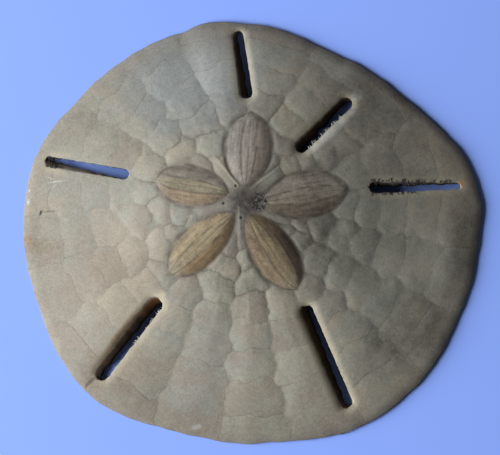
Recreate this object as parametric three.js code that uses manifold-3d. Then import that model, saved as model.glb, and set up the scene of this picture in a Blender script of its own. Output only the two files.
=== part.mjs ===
// The bare, dried test of a six-holed keyhole sand dollar, grown as one piece.
// Millimetres, +Z up. z = 0 is the plane that it rests on. Its anal hole points to about +X +Y.
import * as THREE from "three";
import { mergeVertices } from "three/addons/utils/BufferGeometryUtils.js";
import Module from "manifold-3d";

// Driving dimensions of the whole test. The dome is a low cone with a rounded tip, from a thin margin.
const APEX = [-1.95, 5.9];
const HEIGHT = 11.0;
const TIP_ROUND = 3.0;
const CROWN_POWERS = [1.1, 0.9];
const MARGIN = 1.1;
const MARGIN_EASE = 1.8;

// The underside rests on a flat band under the margin, and is slightly hollow further in.
const REST_BAND = 0.78;
const UNDERSIDE_HOLLOW = 0.9;
const HOLLOW_POWER = 1.5;

// Radius of the rim from the apex, every 10 degrees from +X.
const RIM_STEP = 10;
const RIM = [
  47.9, 45.9, 42.4, 39.4, 37.4, 36.2, 35.0, 35.1, 35.6, 36.1, 36.8, 36.3,
  36.8, 37.3, 38.2, 39.2, 41.3, 42.9, 43.7, 44.6, 45.2, 46.3, 47.9, 49.2,
  48.9, 47.9, 47.7, 48.2, 48.5, 49.8, 50.7, 50.6, 50.1, 49.0, 48.4, 47.8,
];

// Slot-like holes: the inner and outer ends from the apex, and the widths there. Then how far the lips
// on the left and the right, looking outwards, are rounded down, and how far the walls sway to the left
// half-way down, at the inner and the outer end.
const LUNULE_LIP = 1.4;
const LUNULE_FOOT = 0.5;
const LUNULES = [
  { inner: [0.77, 20.3], outer: [-1.2, 34.3], widths: [2.7, 2.3], drops: [0.25, 0.4], sways: [-1.8, -1] },
  { inner: [10.5, 10.1], outer: [21.3, 20.6], widths: [2.7, 2.7], drops: [0.35, 0.5], sways: [-2.1, -1.2] },
  { inner: [24.8, 3], outer: [43.5, 3.4], widths: [2.4, 1.3], drops: [0.2, 0.15], sways: [-1, -0.3] },
  { inner: [11.9, -20.1], outer: [21, -41], widths: [2.8, 2.7], drops: [0.4, 0.45], sways: [2, 1.2] },
  { inner: [-16.35, -18.75], outer: [-29, -35], widths: [3.2, 3.1], drops: [0.12, 0.45], sways: [2.2, 1.7] },
  { inner: [-22.3, 5.4], outer: [-39.4, 8.3], widths: [2.1, 2.2], drops: [0.12, 0.12], sways: [0, -1.4] },
];

// Petals: the inner end and the tip from the apex, and the full width. Each is a low arch in a crease.
const PETAL_RISE = 0.28;
const PETAL_SHOULDER = 4.2;
const PETAL_CREASE = 0.08;
const PETAL_CREASE_WIDTH = 0.8;
const PETAL_EDGE = 0.6;
const PETAL_POINT = 0.62;
const PETAL_SWELL = 0.25;
const PETALS = [
  { root: [0.6, 3.0], tip: [1.7, 17.6], width: 9.4 },
  { root: [3.6, 0.0], tip: [20.4, 2.8], width: 9.0 },
  { root: [1.2, -2.4], tip: [10.6, -16.8], width: 8.6 },
  { root: [-1.8, -2.2], tip: [-14.2, -14.0], width: 8.0 },
  { root: [-2.8, 2.0], tip: [-17.0, 4.4], width: 8.0 },
];

// Each column of plates is a low ridge, higher on the -Y side by LOW_SIDE of its rise, and the small
// plates beside the petals are like pebbles.
// This relief dies out towards the rim, the holes and the apex.
const COLUMN_RISE = 0.24;
const COLUMN_SHOULDER = 5;
const LOW_SIDE = 0.3;
const PEBBLE_RISE = 0.12;
const PEBBLE_SHOULDER = 1.8;
const PEBBLE_ZONE = [15, 30];
const RIM_FADE = 6;
const LUNULE_FADE = 3;
const APEX_FADE = [4, 9];

// The ten zones of plates, each with two columns. The columns stand off the zone's middle by an
// angle beside the petals, and by their own angles further out. Rows are the plates' middle radii.
const FIRST_RING = 8;
const PETAL_RING = 17;
const OUTER_RING = 27;
const NARROWEST = 0.55;
const PLATE_ZONES = [
  { middle: 88.5, inner: 8, outer: [12.5, 13], rows: [[20, 24.5, 29.5, 34.5], [19.5, 25, 30.5, 35.5]] },
  {
    middle: 130.5,
    inner: 13,
    outer: [8.8, 8.8],
    rows: [[9, 12.5, 17.5, 23, 29, 34.5], [10.5, 15.5, 20, 25.5, 31, 36.5]],
  },
  { middle: 167, inner: 8, outer: [9.2, 9], rows: [[20, 25, 30.5, 36.5], [19.5, 24, 29, 35, 41.5]] },
  {
    middle: 197.5,
    inner: 12,
    outer: [7.2, 7.5],
    rows: [[9, 12, 16, 21.3, 26.9, 32.9, 40], [10.5, 14, 18.6, 23.4, 28.9, 34, 41]],
  },
  { middle: 229.8, inner: 7, outer: [8.8, 9], rows: [[20.5, 25.5, 31.5, 38, 45], [21.1, 25.9, 32, 39, 46]] },
  {
    middle: 264.5,
    inner: 13,
    outer: [8.8, 8.8],
    rows: [[9, 12.5, 17.5, 23.5, 29, 35.5, 43.5], [8, 11, 15, 20.5, 26.5, 31.5, 38.5, 46]],
  },
  { middle: 299, inner: 7, outer: [9.2, 9.4], rows: [[21.5, 27.3, 33.5, 40, 47], [21.3, 26, 32, 38.5, 46]] },
  {
    middle: 332.5,
    inner: 11,
    outer: [7.8, 8],
    rows: [[9, 12.5, 18.4, 23.5, 28.6, 33.5, 39, 45.5], [8, 11.5, 15.7, 20.5, 25.6, 30.5, 36.5, 43.5]],
  },
  { middle: 5.8, inner: 7, outer: [9.2, 10], rows: [[20.5, 24.3, 29, 35.5, 42.5], [22, 28.5, 35.5, 42]] },
  {
    middle: 45,
    inner: 14,
    outer: [9, 9],
    rows: [[8.5, 11.5, 14.5, 18.5, 22.5, 27.5, 33, 38], [9.5, 13, 17.5, 22.5, 28, 33.5]],
  },
];

// Underside: the mouth lies under the apex, the anus between it and the anal hole. Shallow grooves that
// led food to the mouth fork to pass both sides of each hole, and end at a share of the rim's radius.
const MOUTH_RADIUS = 2.2;
const MOUTH_DEPTH = 1.6;
const MOUTH_SLOPE = 0.8;
const ANUS = { at: [5.2, 5.1], radius: 0.9, depth: 0.8 };
const GROOVE_DEPTH = 0.35;
const GROOVE_WIDTH = 1.3;
const GROOVE_START = [2.2, 4.2];
const GROOVE_FORK = [9, 17];
const GROOVE_SPREAD = 8;
const GROOVE_END = [0.67, 0.77];

// Fineness of the faceted surface, with the rings of a round blank of BLANK radius.
const SEGMENTS = 96;
const BLANK = 43;
const TOP_RINGS = [
  1.5, 3, 4.5, 6, 7.5, 9, 10.5, 12, 13.5, 15, 16.5, 18, 19.6, 21.5, 24, 26.5, 29, 31.5, 34, 36.5, 39, 41.2,
];
const EDGE_RINGS = [42.0, 42.65];
const UNDERSIDE_RINGS = [41.2, 37.5, 33.5, 29, 24.5, 20, 16, 12, 8.5, 5.5, 3, 2.2, 1.3];
const ANUS_FACETS = [12, 8];
const LUNULE_END_STEPS = 4;
const LUNULE_SIDE_STEP = 4;

// The space of a hole runs past both faces: SKIM where its lips run out, then CLEAR with upright sides.
const SKIM = 0.15;
const CLEAR = 2;
const WELD = 1e-4;

const radians = THREE.MathUtils.degToRad;
const clamp = THREE.MathUtils.clamp;
const lerp = THREE.MathUtils.lerp;

// From 0 to 1 as share goes from 0 to 1, steepest at the start.
function shoulder(share) {
  const left = 1 - clamp(share, 0, 1);
  return 1 - left * left;
}

function bump(distance, width) {
  return Math.exp(-((distance / width) ** 2));
}

// Straight from 0 at start to 1 at end.
function ramp(value, [start, end]) {
  return clamp((value - start) / (end - start), 0, 1);
}

// Radius of the rim in a direction, on a smooth closed curve through RIM.
function rimRadius(angle) {
  const degrees = THREE.MathUtils.radToDeg(angle);
  const turn = ((degrees % 360) + 360) % 360;
  const index = Math.floor(turn / RIM_STEP);
  const f = turn / RIM_STEP - index;
  const [a, b, c, d] = [-1, 0, 1, 2].map((k) => RIM[(index + k + RIM.length) % RIM.length]);
  return b + 0.5 * f * (c - a + f * (2 * a - 5 * b + 4 * c - d + f * (3 * b - a - 3 * c + d)));
}

// The middles of a zone's plates, and the column that each stands in.
function platesOf({ middle, inner, outer, rows }) {
  return rows.flatMap((radii, side) =>
    radii.map((radius) => {
      const widening = lerp(NARROWEST, 1, ramp(radius, [FIRST_RING, PETAL_RING]));
      const off = inner * widening + (outer[side] - inner) * ramp(radius, [PETAL_RING, OUTER_RING]);
      const angle = radians(middle + (side ? off : -off));
      return { x: radius * Math.cos(angle), y: radius * Math.sin(angle), column: `${middle} ${side}` };
    }),
  );
}

const PLATES = PLATE_ZONES.flatMap(platesOf);

// Distance from a point in its own plate to the suture with another.
function sutureDistance(x, y, own, other) {
  const [near, far] = [own, other].map((plate) => (x - plate.x) ** 2 + (y - plate.y) ** 2);
  return (far - near) / (2 * Math.hypot(other.x - own.x, other.y - own.y));
}

function plateRelief(x, y) {
  const away = (plate) => Math.hypot(x - plate.x, y - plate.y);
  const [own, ...others] = PLATES.toSorted((a, b) => away(a) - away(b));
  const beside = others.find((plate) => plate.column !== own.column);
  const inLine = others.find((plate) => plate.column === own.column);
  const inColumn = sutureDistance(x, y, own, beside);
  const inRow = sutureDistance(x, y, own, inLine);
  const radius = Math.max(Math.hypot(x, y), 1);
  const column = COLUMN_RISE * (shoulder(inColumn / COLUMN_SHOULDER) - 0.5) * (1 - (LOW_SIDE * y) / radius);
  const pebble = PEBBLE_RISE * shoulder(inColumn / PEBBLE_SHOULDER) * shoulder(inRow / PEBBLE_SHOULDER);
  return column + pebble * (1 - ramp(radius, PEBBLE_ZONE));
}

// How far a point lies inside a petal's outline.
function insidePetal({ root, tip, width }, x, y) {
  const length = Math.hypot(tip[0] - root[0], tip[1] - root[1]);
  const along = [(tip[0] - root[0]) / length, (tip[1] - root[1]) / length];
  const u = ((x - root[0]) * along[0] + (y - root[1]) * along[1]) / length;
  const across = (y - root[1]) * along[0] - (x - root[0]) * along[1];
  const open = clamp(4 * u * (1 - u), 0, 1) ** PETAL_POINT;
  const half = 0.5 * width * open * (1 + PETAL_SWELL * (u - 0.5));
  const beyond = Math.max(0, -u, u - 1) * length;
  return half - Math.hypot(across, beyond);
}

// Distance from a hole's edge, negative in the hole, with the outward and the leftward direction there,
// the share of the way out along it, and how far to the left a point is, from -1 to 1.
function lunulePlace({ inner, outer, widths }, x, y) {
  const length = Math.hypot(outer[0] - inner[0], outer[1] - inner[1]);
  const along = [(outer[0] - inner[0]) / length, (outer[1] - inner[1]) / length];
  const leftward = [-along[1], along[0]];
  const s = (x - inner[0]) * along[0] + (y - inner[1]) * along[1];
  const onAxis = clamp(s, widths[0] / 2, length - widths[1] / 2);
  const foot = [inner[0] + along[0] * onAxis, inner[1] + along[1] * onAxis];
  const distance = Math.hypot(x - foot[0], y - foot[1]);
  const half = lerp(widths[0], widths[1], onAxis / length) / 2;
  const outward = [(x - foot[0]) / distance, (y - foot[1]) / distance];
  const left = clamp(((x - foot[0]) * leftward[0] + (y - foot[1]) * leftward[1]) / half, -1, 1);
  return { distance: distance - half, outward, leftward, left, share: onAxis / length };
}

function lunuleDistance(x, y) {
  return Math.min(...LUNULES.map((lunule) => lunulePlace(lunule, x, y).distance));
}

// Rounds a height off towards the middle of the margin's thickness.
function roundedEdge(full, toRim) {
  const ease = 1 - clamp(toRim / MARGIN_EASE, 0, 1);
  return MARGIN / 2 + (full - MARGIN / 2) * Math.sqrt(1 - ease * ease);
}

// Height of the plain dome.
function domeHeight(radius, rim) {
  const share = (Math.hypot(radius, TIP_ROUND) - TIP_ROUND) / (Math.hypot(rim, TIP_ROUND) - TIP_ROUND);
  return MARGIN + (HEIGHT - MARGIN) * (1 - Math.min(share, 1) ** CROWN_POWERS[0]) ** CROWN_POWERS[1];
}

// Height of the upper surface over the table, at x and y from the apex.
function topHeight(x, y) {
  const radius = Math.hypot(x, y);
  const rim = rimRadius(Math.atan2(y, x));
  const inPetals = PETALS.map((petal) => insidePetal(petal, x, y));
  const petals = inPetals.reduce((relief, inside) => {
    const arch = PETAL_RISE * shoulder(inside / PETAL_SHOULDER);
    return relief + arch - PETAL_CREASE * bump(inside, PETAL_CREASE_WIDTH);
  }, 0);
  const openPlates =
    ramp(-Math.max(...inPetals), [0, PETAL_EDGE]) *
    ramp(rim - radius, [0, RIM_FADE]) *
    ramp(lunuleDistance(x, y), [0, LUNULE_FADE]) *
    ramp(radius, APEX_FADE);
  const relief = petals * ramp(radius, [0, APEX_FADE[0]]) + plateRelief(x, y) * openPlates;
  return roundedEdge(domeHeight(radius, rim) + relief, rim - radius);
}

// Depth of the grooves that led food to the mouth: one trunk a petal, forked.
function grooveDepth(x, y, share) {
  const radius = Math.hypot(x, y);
  const angle = Math.atan2(y, x);
  const half = radians(GROOVE_SPREAD) * ramp(radius, GROOVE_FORK);
  const depths = PETALS.map(({ tip }) => {
    const trunk = Math.atan2(tip[1], tip[0]);
    const off = Math.abs(Math.atan2(Math.sin(angle - trunk), Math.cos(angle - trunk)));
    return GROOVE_DEPTH * bump(Math.abs(off - half) * radius, GROOVE_WIDTH);
  });
  return Math.max(...depths) * ramp(radius, GROOVE_START) * (1 - ramp(share, GROOVE_END));
}

// Height of the underside over the table.
function undersideHeight(x, y) {
  const radius = Math.hypot(x, y);
  const rim = rimRadius(Math.atan2(y, x));
  const share = Math.min(radius / rim, 1);
  const inward = 1 - Math.min(share / REST_BAND, 1) ** 2;
  const mouth = MOUTH_DEPTH * ramp(-radius, [-MOUTH_RADIUS - MOUTH_SLOPE, -MOUTH_RADIUS]);
  const full = UNDERSIDE_HOLLOW * inward ** HOLLOW_POWER + mouth + grooveDepth(x, y, share);
  return roundedEdge(full, rim - radius);
}

// A geometry's own surface as a solid for joining and cutting.
const wasm = await Module();
wasm.setup();

function solidOf(geometry) {
  geometry.deleteAttribute("normal");
  geometry.deleteAttribute("uv");
  const merged = mergeVertices(geometry, WELD);
  return new wasm.Manifold(
    new wasm.Mesh({
      numProp: 3,
      vertProperties: new Float32Array(merged.attributes.position.array),
      triVerts: new Uint32Array(merged.index.array),
    }),
  );
}

function geometryOf(solid) {
  const mesh = solid.getMesh();
  const geometry = new THREE.BufferGeometry();
  geometry.setAttribute("position", new THREE.BufferAttribute(mesh.vertProperties, 3));
  geometry.setIndex(new THREE.BufferAttribute(mesh.triVerts, 1));
  geometry.computeVertexNormals();
  return geometry;
}

// Moves each vertex of a geometry to where the function puts it.
function reshape(geometry, move) {
  const position = geometry.attributes.position;
  for (let i = 0; i < position.count; i++) {
    position.setXYZ(i, ...move(position.getX(i), position.getY(i), position.getZ(i)));
  }
  return geometry;
}

// The whole body: a round blank turned about the apex, then stretched to the rim and given its relief.
function makeBody() {
  const profile = [
    new THREE.Vector2(0, -1),
    ...UNDERSIDE_RINGS.toReversed().map((radius) => new THREE.Vector2(radius, -1)),
    ...EDGE_RINGS.map((radius) => new THREE.Vector2(radius, -1)),
    new THREE.Vector2(BLANK, 0),
    ...EDGE_RINGS.toReversed().map((radius) => new THREE.Vector2(radius, 1)),
    ...TOP_RINGS.toReversed().map((radius) => new THREE.Vector2(radius, 1)),
    new THREE.Vector2(0, 1),
  ];
  const blank = new THREE.LatheGeometry(profile, SEGMENTS);
  blank.rotateX(Math.PI / 2);
  return reshape(blank, (bx, by, side) => {
    const flat = Math.hypot(bx, by);
    const angle = Math.atan2(by, bx);
    const rim = rimRadius(angle);
    const inner = BLANK - MARGIN_EASE;
    const radius = flat < inner ? (flat * (rim - MARGIN_EASE)) / inner : rim - (BLANK - flat);
    const x = radius * Math.cos(angle);
    const y = radius * Math.sin(angle);
    return [x, y, side < 0 ? undersideHeight(x, y) : topHeight(x, y)];
  });
}

// The outline of a hole, with round ends and a point every few millimetres along its sides.
function lunuleOutline({ inner, outer, widths }) {
  const length = Math.hypot(outer[0] - inner[0], outer[1] - inner[1]);
  const turn = Math.atan2(outer[1] - inner[1], outer[0] - inner[0]);
  const ends = widths.map((width) => width / 2);
  const sideSteps = Math.round(length / LUNULE_SIDE_STEP);
  const points = [];
  for (let i = 0; i <= LUNULE_END_STEPS; i++) {
    const a = Math.PI / 2 + (i * Math.PI) / LUNULE_END_STEPS;
    points.push([ends[0] + ends[0] * Math.cos(a), ends[0] * Math.sin(a)]);
  }
  for (let i = 1; i < sideSteps; i++) {
    const t = i / sideSteps;
    points.push([lerp(ends[0], length - ends[1], t), -lerp(...ends, t)]);
  }
  for (let i = 0; i <= LUNULE_END_STEPS; i++) {
    const a = -Math.PI / 2 + (i * Math.PI) / LUNULE_END_STEPS;
    points.push([length - ends[1] + ends[1] * Math.cos(a), ends[1] * Math.sin(a)]);
  }
  for (let i = sideSteps - 1; i > 0; i--) {
    const t = i / sideSteps;
    points.push([lerp(ends[0], length - ends[1], t), lerp(...ends, t)]);
  }
  const place = new THREE.Vector2(...inner);
  return points.map(([u, v]) => new THREE.Vector2(u, v).rotateAround(new THREE.Vector2(), turn).add(place));
}

// The space of a hole. Each level is an outset, a share of the sway, a share of the lips' drop, and a
// height, which is the underside's at 0 and the upper surface's at 1, with a few millimetres added.
function makeLunule(lunule) {
  const levels = [
    { outset: LUNULE_FOOT, sway: 0, drop: 0, height: 0, add: -CLEAR },
    { outset: LUNULE_FOOT, sway: 0, drop: 0, height: 0, add: -SKIM },
    { outset: 0, sway: 0, drop: 0, height: 0, add: LUNULE_FOOT },
    { outset: 0, sway: 1, drop: 0, height: 0.5, add: 0 },
    { outset: 0, sway: 0, drop: 1, height: 1, add: 0 },
    { outset: LUNULE_LIP / 2, sway: 0, drop: 0.25, height: 1, add: 0 },
    { outset: LUNULE_LIP, sway: 0, drop: 0, height: 1, add: SKIM },
    { outset: LUNULE_LIP, sway: 0, drop: 0, height: 1, add: CLEAR },
  ];
  const shape = new THREE.Shape(lunuleOutline(lunule));
  const steps = levels.length - 1;
  const space = new THREE.ExtrudeGeometry(shape, { depth: steps, steps, bevelEnabled: false });
  return reshape(space, (x, y, step) => {
    const level = levels[Math.round(step)];
    const { outward, leftward, left, share } = lunulePlace(lunule, x, y);
    const lipX = x + outward[0] * level.outset;
    const lipY = y + outward[1] * level.outset;
    const sway = lerp(...lunule.sways, share) * level.sway;
    const drop = lerp(lunule.drops[1], lunule.drops[0], (1 + left) / 2) * level.drop;
    const z = lerp(undersideHeight(lipX, lipY), topHeight(lipX, lipY), level.height) + level.add - drop;
    return [lipX + leftward[0] * sway, lipY + leftward[1] * sway, z];
  });
}

// A shallow round pit for the anus.
function makeAnus() {
  const { at, radius, depth } = ANUS;
  const ball = new THREE.SphereGeometry(radius, ...ANUS_FACETS);
  ball.scale(1, 1, depth / radius);
  ball.translate(at[0], at[1], undersideHeight(at[0], at[1]));
  return ball;
}

let test = solidOf(makeBody());
for (const lunule of LUNULES) {
  test = test.subtract(solidOf(makeLunule(lunule)));
}
test = test.subtract(solidOf(makeAnus()));

// Chalky, slightly warm calcite.
const calcite = new THREE.MeshStandardMaterial({ color: 0xb9b09c, roughness: 0.85, metalness: 0 });
const mesh = new THREE.Mesh(geometryOf(test), calcite);
mesh.name = "test";
mesh.position.set(APEX[0], APEX[1], 0);

const sandDollar = new THREE.Group();
sandDollar.add(mesh);

export default sandDollar;
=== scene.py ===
# The bare, dried test of a six-holed keyhole sand dollar, lying flat on a pale table.
# Blender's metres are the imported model's. Sizes of the test are written in millimetres from its apex.
import math

import bmesh
import bpy
import numpy as np
from mathutils import Matrix, Vector


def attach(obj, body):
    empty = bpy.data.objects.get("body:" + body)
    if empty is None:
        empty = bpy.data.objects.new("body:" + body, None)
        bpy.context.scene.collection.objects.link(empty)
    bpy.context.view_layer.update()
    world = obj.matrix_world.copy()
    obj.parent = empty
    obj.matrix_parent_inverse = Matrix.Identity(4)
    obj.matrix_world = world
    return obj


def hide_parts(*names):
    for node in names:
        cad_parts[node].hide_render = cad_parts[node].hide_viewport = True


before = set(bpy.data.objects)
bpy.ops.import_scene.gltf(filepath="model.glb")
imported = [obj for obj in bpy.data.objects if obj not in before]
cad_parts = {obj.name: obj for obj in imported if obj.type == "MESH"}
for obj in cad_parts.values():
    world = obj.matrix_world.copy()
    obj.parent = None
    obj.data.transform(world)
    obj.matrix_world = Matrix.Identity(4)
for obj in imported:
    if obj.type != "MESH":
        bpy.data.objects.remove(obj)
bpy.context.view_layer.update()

# The camera looks straight down, as the photo does, from 350 mm above the table. The picture is
# 100 mm wide on the table, and its middle lies a little right of and below the apex.
MM = 0.001
APEX = (-1.95, 5.9)
VIEW_HEIGHT = 350
VIEW_WIDTH = 100
VIEW_MIDDLE = (1.4, -4.9)
NEAREST = 10
SENSOR = 36


def put_in_scene(name, data):
    """A new object in the scene, at the origin."""
    thing = bpy.data.objects.new(name, data)
    bpy.context.scene.collection.objects.link(thing)
    return thing


camera_data = bpy.data.cameras.new("camera")
camera_data.sensor_width = SENSOR
camera_data.lens = SENSOR * VIEW_HEIGHT / VIEW_WIDTH
camera_data.clip_start = NEAREST * MM
camera = put_in_scene("camera", camera_data)
camera.location = (
    (APEX[0] + VIEW_MIDDLE[0]) * MM,
    (APEX[1] + VIEW_MIDDLE[1]) * MM,
    VIEW_HEIGHT * MM,
)
bpy.context.scene.camera = camera
bpy.context.scene.view_settings.view_transform = "Standard"


# The table: a plain, matt sheet of pale blue, in metres and far wider than the picture. It lies a hair
# below the test, so that the two never share a plane.
def tone(red, green, blue):
    """A screen colour, 0 to 255, as the linear colour that a shader takes."""
    shares = [value / 255 for value in (red, green, blue)]
    return tuple(s / 12.92 if s <= 0.04045 else ((s + 0.055) / 1.055) ** 2.4 for s in shares) + (1,)


def new_material(name):
    """A new material and its Principled shader."""
    material = bpy.data.materials.new(name)
    material.use_nodes = True
    return material, material.node_tree.nodes["Principled BSDF"]


TABLE_HALF = 1.5
TABLE_DROP = 0.00002
TABLE_BLUE = tone(136, 160, 224)
TABLE_ROUGHNESS = 0.9
TABLE_SHINE = 0.1

sheet_mesh = bpy.data.meshes.new("table")
sheet_form = bmesh.new()
bmesh.ops.create_grid(sheet_form, x_segments=1, y_segments=1, size=TABLE_HALF)
bmesh.ops.translate(sheet_form, verts=sheet_form.verts, vec=(0, 0, -TABLE_DROP))
sheet_form.to_mesh(sheet_mesh)
sheet_form.free()
table = put_in_scene("table", sheet_mesh)
table_paint, table_shader = new_material("table_blue")
table_shader.inputs["Base Color"].default_value = TABLE_BLUE
table_shader.inputs["Roughness"].default_value = TABLE_ROUGHNESS
table_shader.inputs["Specular IOR Level"].default_value = TABLE_SHINE
sheet_mesh.materials.append(table_paint)

# The light: one large, soft window low on the left, and hardly any light from the rest of the room.
# Sizes are in metres and the power is in watts.
WINDOW_TURN = math.radians(186)
WINDOW_RISE = math.radians(28)
WINDOW_AWAY = 0.8
WINDOW_SIZE = (0.6, 0.58)
WINDOW_POWER = 18.5
WINDOW_COLOUR = (0.88, 0.95, 1.08)
ROOM = (0.9, 0.95, 1.0, 1)
ROOM_STRENGTH = 0.08

window_data = bpy.data.lights.new("window", "AREA")
window_data.shape = "RECTANGLE"
window_data.size, window_data.size_y = WINDOW_SIZE
window_data.energy = WINDOW_POWER
window_data.color = WINDOW_COLOUR
window = put_in_scene("window", window_data)
window.location = (
    WINDOW_AWAY * math.cos(WINDOW_RISE) * math.cos(WINDOW_TURN),
    WINDOW_AWAY * math.cos(WINDOW_RISE) * math.sin(WINDOW_TURN),
    WINDOW_AWAY * math.sin(WINDOW_RISE),
)
window.rotation_euler = window.location.to_track_quat("Z", "Y").to_euler()
room = bpy.data.worlds.new("room")
room.use_nodes = True
room.node_tree.nodes["Background"].inputs["Color"].default_value = ROOM
room.node_tree.nodes["Background"].inputs["Strength"].default_value = ROOM_STRENGTH
bpy.context.scene.world = room

# The test: the animal's skeleton, one rigid piece of chalky calcite that it grew from some 120 plates.
# It is a low cone with a rounded tip and a thin, rounded margin, and six slots run right through it.
# It lies loose, on the flat band under its margin.
HEIGHT = 11.0
TIP_ROUND = 3.0
CROWN_POWERS = (1.1, 0.9)
MARGIN = 1.1
MARGIN_EASE = 1.8

# Radius of the rim from the apex, every 10 degrees from +X. The smooth curve through it is drawn in
# a little, so that the rim's fine waves stay inside the whole size.
RIM_INSET = 0.12
RIM_WAVES = 0.05
RIM_WAVE_LENGTH = 5
RIM_STEP = 10
RIM = np.array([
    47.9, 45.9, 42.4, 39.4, 37.4, 36.2, 35.0, 35.1, 35.6, 36.1, 36.8, 36.3,
    36.8, 37.3, 38.2, 39.2, 41.3, 42.9, 43.7, 44.6, 45.2, 46.3, 47.9, 49.2,
    48.9, 47.9, 47.7, 48.2, 48.5, 49.8, 50.7, 50.6, 50.1, 49.0, 48.4, 47.8,
])


def rise(share):
    """From 0 to 1, steepest at the start."""
    left = 1 - np.clip(share, 0, 1)
    return 1 - left * left


def bump(distance, width):
    """From 1 at no distance, like a bell, to nearly 0 at twice the width."""
    return np.exp(-((distance / width) ** 2))


def ramp(value, start, end):
    """Straight from 0 at start to 1 at end."""
    return np.clip((value - start) / (end - start), 0, 1)


def ripple(x, y, length, seed, waves=9):
    """Smooth waviness of about one, from crossing waves whose lengths are near the length."""
    draw = np.random.default_rng(seed)
    total = np.zeros_like(x)
    for _ in range(waves):
        turn = draw.uniform(0, math.tau)
        pace = math.tau / (length * draw.uniform(0.7, 1.5))
        total += np.sin((x * math.cos(turn) + y * math.sin(turn)) * pace + draw.uniform(0, math.tau))
    return total / math.sqrt(waves / 2)


def rim_radius(angle):
    """Radius of the rim in a direction, on a smooth closed curve through RIM."""
    turn = np.degrees(angle) % 360 / RIM_STEP
    index = np.floor(turn).astype(int)
    f = turn - index
    a, b, c, d = (RIM[(index + k) % len(RIM)] for k in (-1, 0, 1, 2))
    smooth = b + 0.5 * f * (c - a + f * (2 * a - 5 * b + 4 * c - d + f * (3 * b - a - 3 * c + d)))
    waves = ripple(smooth * np.cos(angle), smooth * np.sin(angle), RIM_WAVE_LENGTH, seed=31)
    return smooth - RIM_INSET + RIM_WAVES * waves


# The blank: a round disc, closed at its rounded edge, with fine rings about the apex. Its rings stand a
# little closer near the apex, and closest round the edge.
SEGMENTS = 440
BLANK = 43
FLAT = BLANK - MARGIN_EASE
FLAT_RINGS = 91
RING_SPREAD = 1.06
EDGE_RINGS = [41.8, 42.08, 42.33, 42.55, 42.73, 42.86, 42.95]
RINGS = [FLAT * (k / FLAT_RINGS) ** RING_SPREAD for k in range(2, FLAT_RINGS + 1)] + EDGE_RINGS
WELD = 0.0001


def round_blank():
    """A fine sheet rolled round the apex: up the underside, round the edge and back over the top."""
    below = [(0, -1)] + [(radius, -1) for radius in RINGS]
    above = [(radius, 1) for radius in reversed(RINGS)] + [(0, 1)]
    profile = below + [(BLANK, 0)] + above
    form = bmesh.new()
    bmesh.ops.create_grid(form, x_segments=SEGMENTS, y_segments=len(profile) - 1, size=1)
    for v in form.verts:
        turn = math.pi * (v.co.x + 1)
        radius, level = profile[round((v.co.y + 1) / 2 * (len(profile) - 1))]
        v.co = (radius * math.cos(turn), radius * math.sin(turn), level)
    bmesh.ops.remove_doubles(form, verts=form.verts, dist=WELD)
    bmesh.ops.recalc_face_normals(form, faces=form.faces)
    return form


# The slots: inner and outer ends from the apex, and the widths there. Then, for the left and the right
# edge looking outwards, how ragged it is and how far its lip is rounded down. Half-way down, the walls
# sway to the left by so much at the inner and the outer end.
SLOT_LIP = 1.4
RAG_LENGTH = 1.5
RAGS_APART = 9
SLOT_VALUES = ("inner", "outer", "widths", "ragged", "drops", "sways")
SLOT_ROWS = {
    "front": ((0.77, 20.3), (-1.2, 34.3), (2.7, 2.3), (0.02, 0.02), (0.25, 0.4), (-1.8, -1)),
    "anal": ((10.5, 10.1), (21.3, 20.6), (2.7, 2.7), (0.03, 0.05), (0.35, 0.5), (-2.1, -1.2)),
    "right": ((24.8, 3), (43.5, 3.4), (2.4, 1.3), (0.05, 0.04), (0.2, 0.15), (-1, -0.3)),
    "low_right": ((11.9, -20.1), (21, -41), (2.8, 2.7), (0.03, 0.02), (0.4, 0.45), (2, 1.2)),
    "low_left": ((-16.35, -18.75), (-29, -35), (3.2, 3.1), (0.06, 0.03), (0.12, 0.45), (2.2, 1.7)),
    "left": ((-22.3, 5.4), (-39.4, 8.3), (2.1, 2.2), (0.03, 0.03), (0.12, 0.12), (0, -1.4)),
}
SLOTS = {name: dict(zip(SLOT_VALUES, row)) for name, row in SLOT_ROWS.items()}


def slot_frame(slot):
    """A slot's inner end, its direction and its length."""
    inner = np.array(slot["inner"])
    run = np.array(slot["outer"]) - inner
    length = math.hypot(*run)
    return inner, run / length, length


def along_slot(slot, x, y):
    """How far a point lies along a slot's axis from its inner end, and how far to its left."""
    inner, (ex, ey), length = slot_frame(slot)
    return (x - inner[0]) * ex + (y - inner[1]) * ey, (y - inner[1]) * ex - (x - inner[0]) * ey


def slot_half(slot, s, side):
    """Half the slot's width along it, with the raggedness of its left (1) or right (-1) edge."""
    _, _, length = slot_frame(slot)
    share = ramp(s, 0, length)
    half = 0.5 * (slot["widths"][0] * (1 - share) + slot["widths"][1] * share)
    amount = np.where(side > 0, slot["ragged"][0], slot["ragged"][1])
    own_seed = int(abs(slot["inner"][0]) * 10)
    away_from_ends = ramp(np.minimum(s, length - s), 0, RAG_LENGTH)
    return half + amount * away_from_ends * ripple(s, RAGS_APART * side, RAG_LENGTH, own_seed)


def slot_distance(slot, x, y):
    """Distance from a slot's edge, negative in the slot."""
    _, _, length = slot_frame(slot)
    s, n = along_slot(slot, x, y)
    on_axis = np.clip(s, slot["widths"][0] / 2, length - slot["widths"][1] / 2)
    return np.hypot(s - on_axis, n) - slot_half(slot, on_axis, np.sign(n))


def nearest_slot(x, y):
    """Distance from the nearest slot's edge."""
    return np.min([slot_distance(slot, x, y) for slot in SLOTS.values()], axis=0)


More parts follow.
